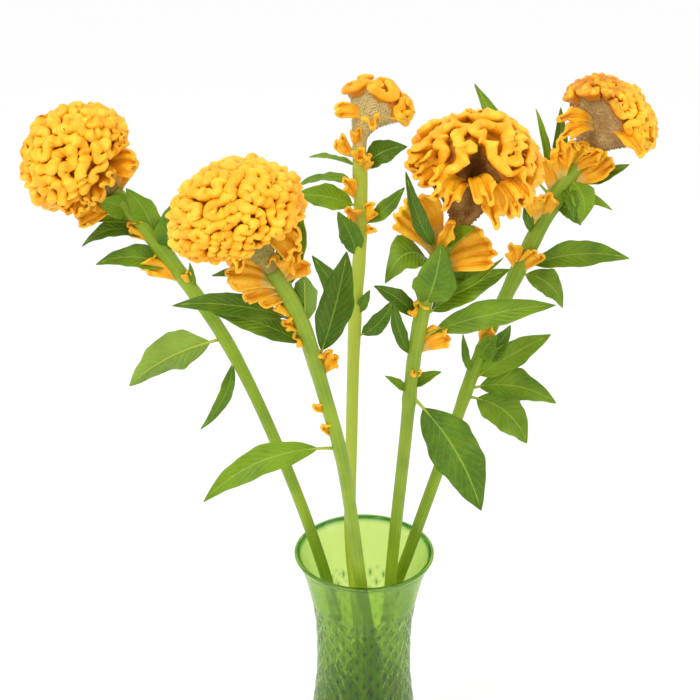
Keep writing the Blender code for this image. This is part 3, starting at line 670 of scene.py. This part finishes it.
def growEdge(head):
    # a loop on the dome that lengthens and pushes itself apart until it fills the dome with folds
    sizes = growthSizes
    rng = np.random.default_rng(head["seed"])
    pitch = head["fold"] / float(np.mean(head["radii"]))
    step = sizes["step"] * pitch
    finest = unit(head["finer"][:3])

    def sizeAt(directions):
        return 1 - head["finer"][3] * np.clip(directions @ finest, 0, 1) ** 1.5

    headings, heights = np.linspace(-math.pi, math.pi, 61)[:-1], np.linspace(-0.99, 0.99, 60)
    spread = np.array([(heading, height) for heading in headings for height in heights])
    flat = np.sqrt(1 - spread[:, 1] ** 2)
    spots = np.stack([flat * np.cos(spread[:, 0]), flat * np.sin(spread[:, 0]), spread[:, 1]], 1)
    covered = np.arccos(spread[:, 1]) < reachOf(head, spread[:, 0])
    wanted = int(4 * math.pi * np.mean(covered / sizeAt(spots) ** 2) / pitch / step)
    turns = np.arange(sizes["starters"]) * 2 * math.pi / sizes["starters"]
    start = sizes["startPolar"] * (1 + 0.2 * rng.random(sizes["starters"]))
    loop = directionAt(start, turns)
    settle = sizes["settle"]
    while settle > 0:
        count = len(loop)
        if count < wanted:
            lengths = np.linalg.norm(np.roll(loop, -1, 0) - loop, axis=1) / sizeAt(loop)
            longest = np.argsort(-(lengths + 0.5 * step * rng.random(count)), kind="stable")
            picked = np.sort(longest[: 1 + count // 90])
            fresh = (loop[picked] + loop[(picked + 1) % count]) / 2
            loop = np.insert(loop, picked + 1, fresh, axis=0)
            count = len(loop)
        else:
            settle -= 1
        distance = np.sqrt(np.clip(2 - 2 * loop @ loop.T, 1e-12, None))
        order = np.abs(np.arange(count)[:, None] - np.arange(count)[None, :])
        order = np.minimum(order, count - order)
        local = sizeAt(loop)
        room = pitch * (local[:, None] + local[None, :]) / 2
        push = np.where((order > 2) & (distance < room), (room - distance) / distance, 0)
        move = sizes["push"] * (loop * push.sum(1)[:, None] - push @ loop)
        before, after = np.roll(loop, 1, 0), np.roll(loop, -1, 0)
        move += sizes["straighten"] * ((before + after) / 2 - loop)
        for other in (before, after):
            gap = other - loop
            size = np.linalg.norm(gap, axis=1)[:, None] + 1e-9
            move += sizes["pull"] * gap * (size - step * local[:, None]) / size
        length = np.linalg.norm(move, axis=1)[:, None] + 1e-9
        loop = loop + move * np.minimum(1, sizes["stride"] * step / length)
        loop /= np.linalg.norm(loop, axis=1)[:, None]
        turn = np.arctan2(loop[:, 1], loop[:, 0])
        polar = np.minimum(np.arccos(np.clip(loop[:, 2], -1, 1)), reachOf(head, turn))
        loop = np.round(directionAt(polar, turn), 7)
    return loop, sizeAt(loop)


def smoothLoop(loop, steps):
    a, b, c, d = (np.roll(loop, shift, 0)[:, None, :] for shift in (1, 0, -1, -2))
    dense = curveBetween(a, b, c, d, (np.arange(steps) / steps)[None, :, None]).reshape(-1, 3)
    return dense / np.linalg.norm(dense, axis=1)[:, None]


def makeCrest(number):
    head = headSizes[number]
    size = float(np.mean(head["radii"]))
    steps = headSizes["loopSteps"]
    grown, local = growEdge(head)
    loop, local = smoothLoop(grown, steps), np.repeat(local, steps)
    count = len(loop)
    fold = head["fold"] / size * local
    side = np.cross(loop, np.roll(loop, -1, 0) - np.roll(loop, 1, 0))
    side /= np.linalg.norm(side, axis=1)[:, None]
    walk = np.concatenate([[0], np.cumsum(np.linalg.norm(np.diff(loop, axis=0), axis=1) / local[1:])]) * size
    uneven = wobble(loop * size, 12, number)
    knob = 0.5 + 0.5 * np.sin(2 * math.pi * walk / head["knobLength"] + 7 * uneven + 1)
    weave = np.sin(2 * math.pi * walk / (1.27 * head["knobLength"]) + 8 * wobble(loop * size, 18, number + 3))
    lump = wobble(loop * size, 13, number + 0.5)
    top = 0.98 + head["lump"] * lump + head["knob"] * knob * local
    bulge = head["bulge"] * fold * (0.88 + 0.20 * knob + 0.25 * uneven)
    # cross-section, as places across the ridge (in bulges) and heights from the core to the top
    wall = head["wall"]
    half = [(0, 1), (0.36, 0.985), (0.68, 0.93), (0.92, 0.82), (1.0, 0.66), (0.5 + wall / 2, 0.48),
            (wall, 0.22), (wall, -0.3)]
    section = np.array([(-a, b) for a, b in half[:0:-1]] + half)
    core = headSizes["coreShare"]

    def placesOf(u, w):
        return np.rint(w * count).astype(int) % count, np.rint(u * (len(section) - 1)).astype(int)

    def shape(u, w):
        spot, place = placesOf(u, w)
        across, height = section[place].T
        share = core + (top[spot] - core) * height
        sway = head["sway"] * local[spot] / size * weave[spot] * np.clip(height, 0, 1) ** 1.5
        out = loop[spot] + side[spot] * (across * bulge[spot] + sway)[:, None]
        out /= np.linalg.norm(out, axis=1)[:, None]
        points = onHead(head, out, share)
        grain = sum(height * wobble(points, wide, seed) for height, wide, seed in headSizes["grain"])
        return points + out * grain[:, None]

    # the depth sets the crest's painted shade, low on the ridge walls near the core in the folds, and its
    # painted highlights, high on the tops
    def depth(points, u, w):
        spot, place = placesOf(u, w)
        return np.clip(section[place, 1] * (0.78 + 0.22 * knob[spot]), 0, 1)

    def tone(points, u, w):
        spot = placesOf(u, w)[0]
        return head["browned"] * smoothStep(0.1, -0.5, loop[spot][:, 0])

    def floor(u, w):
        turn = u * 2 * math.pi
        return onHead(head, directionAt(w * (reachOf(head, turn) - 0.06), turn), core + 0.03)

    body = newBody()
    addSheet(body, len(section) - 1, count, shape, tone=tone, depth=depth)
    # the floor between the ridges has a low depth, so it takes the painted fold shade
    addSheet(body, 48, 20, floor, tone=head["browned"] * 0.5, depth=0.16)
    finishPiece(body, f"crest{number}", [finishes["crest"]], [f"crest_{number}"], merge=0.001,
                turnOut=True)


neckSizes = {
    "around": 96, "along": 26, "florets": 620, "goldenTurn": 0.381966, "rise": (0.12, 0.86), "tuck": 0.12,
    "pleats": [(0.018, 13, 0), (0.012, 22, 1)], "leave": 0.42, "arrive": 0.36,
}


def neckPoints(number, u, w):
    # the funnel under a crest: from the stem's end it opens, with pleats, to the crest's lower edge
    head = headSizes[number]
    across, back = headFrame(head)[:2]
    line = stemLine(number, 24)
    foot, along = line[-1], tangentsOf(line)[-1]
    turn = u * 2 * math.pi
    side = unit(np.cross(along, (0, 1, 0)))
    low = side * np.cos(turn)[:, None] + np.cross(side, along) * np.sin(turn)[:, None]
    low = low * stemRadius(number, foot[2])
    facing = np.arctan2(low @ back, low @ across)
    rim = directionAt(reachOf(head, facing) - neckSizes["tuck"], facing)
    pleat = sum(depth * np.sin(folds * facing + shift) for depth, folds, shift in neckSizes["pleats"])
    start = foot + along * 0.3 + low
    end = onHead(head, rim, headSizes["coreShare"] + 0.02 + pleat)
    long = np.linalg.norm(end - start, axis=1)[:, None]
    first = start + along * neckSizes["leave"] * long
    second = end + (foot + along * 10 - end) * neckSizes["arrive"]
    t = w[:, None]
    return start * (1 - t) ** 3 + 3 * first * t * (1 - t) ** 2 + 3 * second * t**2 * (1 - t) + end * t**3


def makeNeck(number):
    head = headSizes[number]
    finish = floretFinish(f"florets {number}", *head["florets"])
    body = newBody()
    sizes = neckSizes
    addSheet(body, sizes["around"], sizes["along"], lambda u, w: neckPoints(number, u, w), depth=0.3)
    rng = np.random.default_rng(300 + number)
    florets = sizes["florets"]
    turn = (np.arange(florets) * sizes["goldenTurn"]) % 1.0
    lowest, spread = sizes["rise"]
    rise = lowest + spread * np.sqrt((np.arange(florets) + 0.5) / florets)
    points = neckPoints(number, turn, rise)
    above = neckPoints(number, turn, rise + 0.03)
    beside = neckPoints(number, (turn + 0.02) % 1.0, rise)
    for point, high, aside in zip(points, above, beside):
        up = unit(high - point)
        out = np.cross(aside - point, up)
        out = unit(out) if np.linalg.norm(out) > 1e-9 else up
        lean = unit(up + out * (0.3 + 0.9 * rng.random()))
        size = 0.62 + 0.45 * rng.random()
        turned = Vector(lean).to_track_quat("Z", "Y").to_matrix().to_4x4()
        place = Matrix.Translation(Vector((point + lean * 0.7) * mm)) @ turned
        bmesh.ops.create_cone(body, cap_ends=True, segments=5, radius1=size * mm, radius2=0.4 * size * mm,
                              depth=2.6 * size * mm, matrix=place)
    nodes = [f"neck_{number}", f"crest_{number}"]
    finishPiece(body, f"neck{number}", [finish], nodes, merge=0.001)


for number in stemSizes["points"]:
    makeCrest(number)
    makeNeck(number)
    makeFlaps(number)
print("heads made")

# the vase, a turned profile pressed with crossing grooves, and its water

vaseSizes = {
    "outline": [(34, 0), (37, 4), (40.5, 16), (43.5, 45), (42.6, 72), (39.2, 103), (36.2, 132), (35.6, 155),
                (36.2, 178), (37.8, 192), (41.0, 210), (45.2, 226), (51.0, 240)],
    "foot": [(0, 1.5), (24, 1.5), (27, 0.3), (29, 0), (33.4, 0), (34.6, 0.6)],
    "lip": [(50.0, 237.6), (50.9, 238.6), (51.0, 239.4), (50.2, 240.0), (48.8, 240.0), (47.9, 239.5),
            (47.2, 238.2)],
    "wall": 3.6, "floor": 12, "diamonds": 22, "band": (14.0, 203.0), "rows": 26, "relief": 1.3,
    "steps": 308, "waterTop": 120, "meniscus": [(0.8, 0.9), (2.4, 1.5), (6, 1.6)],
    # the last entry gives the height and the radius beyond which the lip gets painted shade
    "hollow": (0.10, 0.17), "hollowDepth": 0.8, "fade": 2.5, "paintedShadeLip": (236.4, 50.0),
}
outline = curveThrough(vaseSizes["outline"], 12)  # the glass's outer side, from the foot to the rim


def outsideRadius(height):
    return np.interp(height, outline[:, 1], outline[:, 0])


def turnProfile(name, profile, finish, node, press=None):
    body = newBody()
    verts = [body.verts.new((r * mm, 0, z * mm)) for r, z in profile]
    edges = [body.edges.new(pair) for pair in zip(verts, verts[1:])]
    bmesh.ops.spin(body, geom=verts + edges, cent=(0, 0, 0), axis=(0, 0, 1), angle=2 * math.pi,
                   steps=vaseSizes["steps"], use_merge=True)
    if press:
        press(body)
    finishPiece(body, name, [finish], [node], merge=0.001, turnOut=True)


def pressDiamonds(body):
    # crossing grooves leave pointed diamonds, each with a small hollow in its middle; the tone paints shade
    # into the diamonds, most into their hollows, and into the lip
    sizes = vaseSizes
    low, high = sizes["band"]
    tall = (high - low) / (sizes["rows"] / 2)
    lipHeight, lipRadius = sizes["paintedShadeLip"]
    wide, long = sizes["hollow"]
    toneLayer = body.verts.layers.float["tone"]
    for vert in body.verts:
        x, y, z = vert.co / mm
        radius = math.hypot(x, y)
        # painted shade: the thick lip gets the full tone
        if z > lipHeight and radius < lipRadius:
            vert[toneLayer] = 1.0
        if radius < outsideRadius(z) - 1.8 or not low - 0.1 < z < high + 0.1:
            continue
        a = math.atan2(y, x) * sizes["diamonds"] / (2 * math.pi)
        b = (z - low) / tall
        p, q = a + b, a - b
        away = 2 * min(abs(p - round(p)), abs(q - round(q)))
        p0, q0 = p - math.floor(p) - 0.5, q - math.floor(q) - 0.5
        da, db = (p0 + q0) / 2, (p0 - q0) / 2
        hollow = math.exp(-((da / wide) ** 2) - (db / long) ** 2)
        fade = max(0, min(1, (high - z) / sizes["fade"], (z - low) / sizes["fade"]))
        lift = (away - 0.5 - sizes["hollowDepth"] * hollow) * sizes["relief"] * fade
        # painted shade: the tone darkens each diamond, most in its hollow, and leaves the grooves and the
        # plain glass light
        vert[toneLayer] = (0.26 + 0.74 * min(1, 1.5 * hollow)) * fade * min(1, 2.5 * away)
        vert.co.x += lift * mm * x / radius
        vert.co.y += lift * mm * y / radius


def makeVase():
    sizes = vaseSizes
    low, high = sizes["band"]
    outer = [(outsideRadius(z), z) for z in np.concatenate([[3, 8, 12], np.linspace(low, high, 170)])]
    outer += [(outsideRadius(z), z) for z in np.linspace(206, 236, 12)]
    inner = [(outsideRadius(z) - sizes["wall"], z) for z in np.linspace(235, sizes["floor"] + 8, 40)]
    bottom = [(outsideRadius(14) - 4, 14), (28, sizes["floor"] + 0.4), (14, sizes["floor"]),
              (0, sizes["floor"])]
    profile = sizes["foot"] + outer + sizes["lip"] + inner + bottom
    turnProfile("vase", profile, finishes["glass"], "vase", pressDiamonds)


def makeWater():
    sizes = vaseSizes
    top = sizes["waterTop"]
    wall = [(outsideRadius(z) - sizes["wall"] + 0.15, z) for z in np.linspace(sizes["floor"] + 8, top, 30)]
    bottom = [(0, sizes["floor"] - 0.1), (14, sizes["floor"] - 0.1), (28, sizes["floor"] + 0.3),
              (outsideRadius(14) - 3.9, 14)]
    edge = wall[-1][0]
    surface = [(edge - inward, top - down) for inward, down in sizes["meniscus"]]
    surface += [(0, surface[-1][1])]
    turnProfile("water", bottom + wall + surface, finishes["water"], "water")


makeVase()
makeWater()
print("vase and water made")

# floor, light and camera

# each light: its place, the width of its disc and its power
studio = {
    "lens": 55.398, "camera": (-0.01039, -0.67611, 0.67061), "pitch": 68,
    "floorSize": 25, "floorHeight": -0.0002, "world": 1.0, "aim": (0, 0, 0.4),
    "lights": {"key": ((-0.7, -0.9, 1.5), 0.7, 10.0), "fill": ((1.2, -0.5, 1.0), 0.9, 3.0)},
}


def makeFloor():
    body = bmesh.new()
    bmesh.ops.create_grid(body, x_segments=1, y_segments=1, size=studio["floorSize"])
    mesh = bpy.data.meshes.new("floor")
    body.to_mesh(mesh)
    body.free()
    made = Finish("floor white")
    mesh.materials.append(made.put(colour=(0.985, 0.985, 0.985), roughness=0.95))
    floor = bpy.data.objects.new("floor", mesh)
    bpy.context.scene.collection.objects.link(floor)
    floor.location.z = studio["floorHeight"]


def addLight(name, place, size, power):
    lamp = bpy.data.lights.new(name, "AREA")
    lamp.shape = "DISK"
    lamp.size = size
    lamp.energy = power
    item = bpy.data.objects.new(name, lamp)
    item.location = place
    item.rotation_euler = (Vector(studio["aim"]) - Vector(place)).to_track_quat("-Z", "Y").to_euler()
    bpy.context.scene.collection.objects.link(item)


makeFloor()
world = bpy.data.worlds.new("studio")
world.use_nodes = True
world.node_tree.nodes["Background"].inputs["Color"].default_value = (1, 1, 1, 1)
world.node_tree.nodes["Background"].inputs["Strength"].default_value = studio["world"]
bpy.context.scene.world = world
bpy.context.scene.view_settings.view_transform = "Standard"
for name, (place, size, power) in studio["lights"].items():
    addLight(name, place, size, power)
lens = bpy.data.cameras.new("camera")
lens.lens = studio["lens"]
lens.sensor_width = 36
lens.clip_start = 0.05
camera = bpy.data.objects.new("camera", lens)
camera.location = studio["camera"]
camera.rotation_euler = (math.radians(studio["pitch"]), 0, 0)
bpy.context.scene.collection.objects.link(camera)
bpy.context.scene.camera = camera

print("studio made")
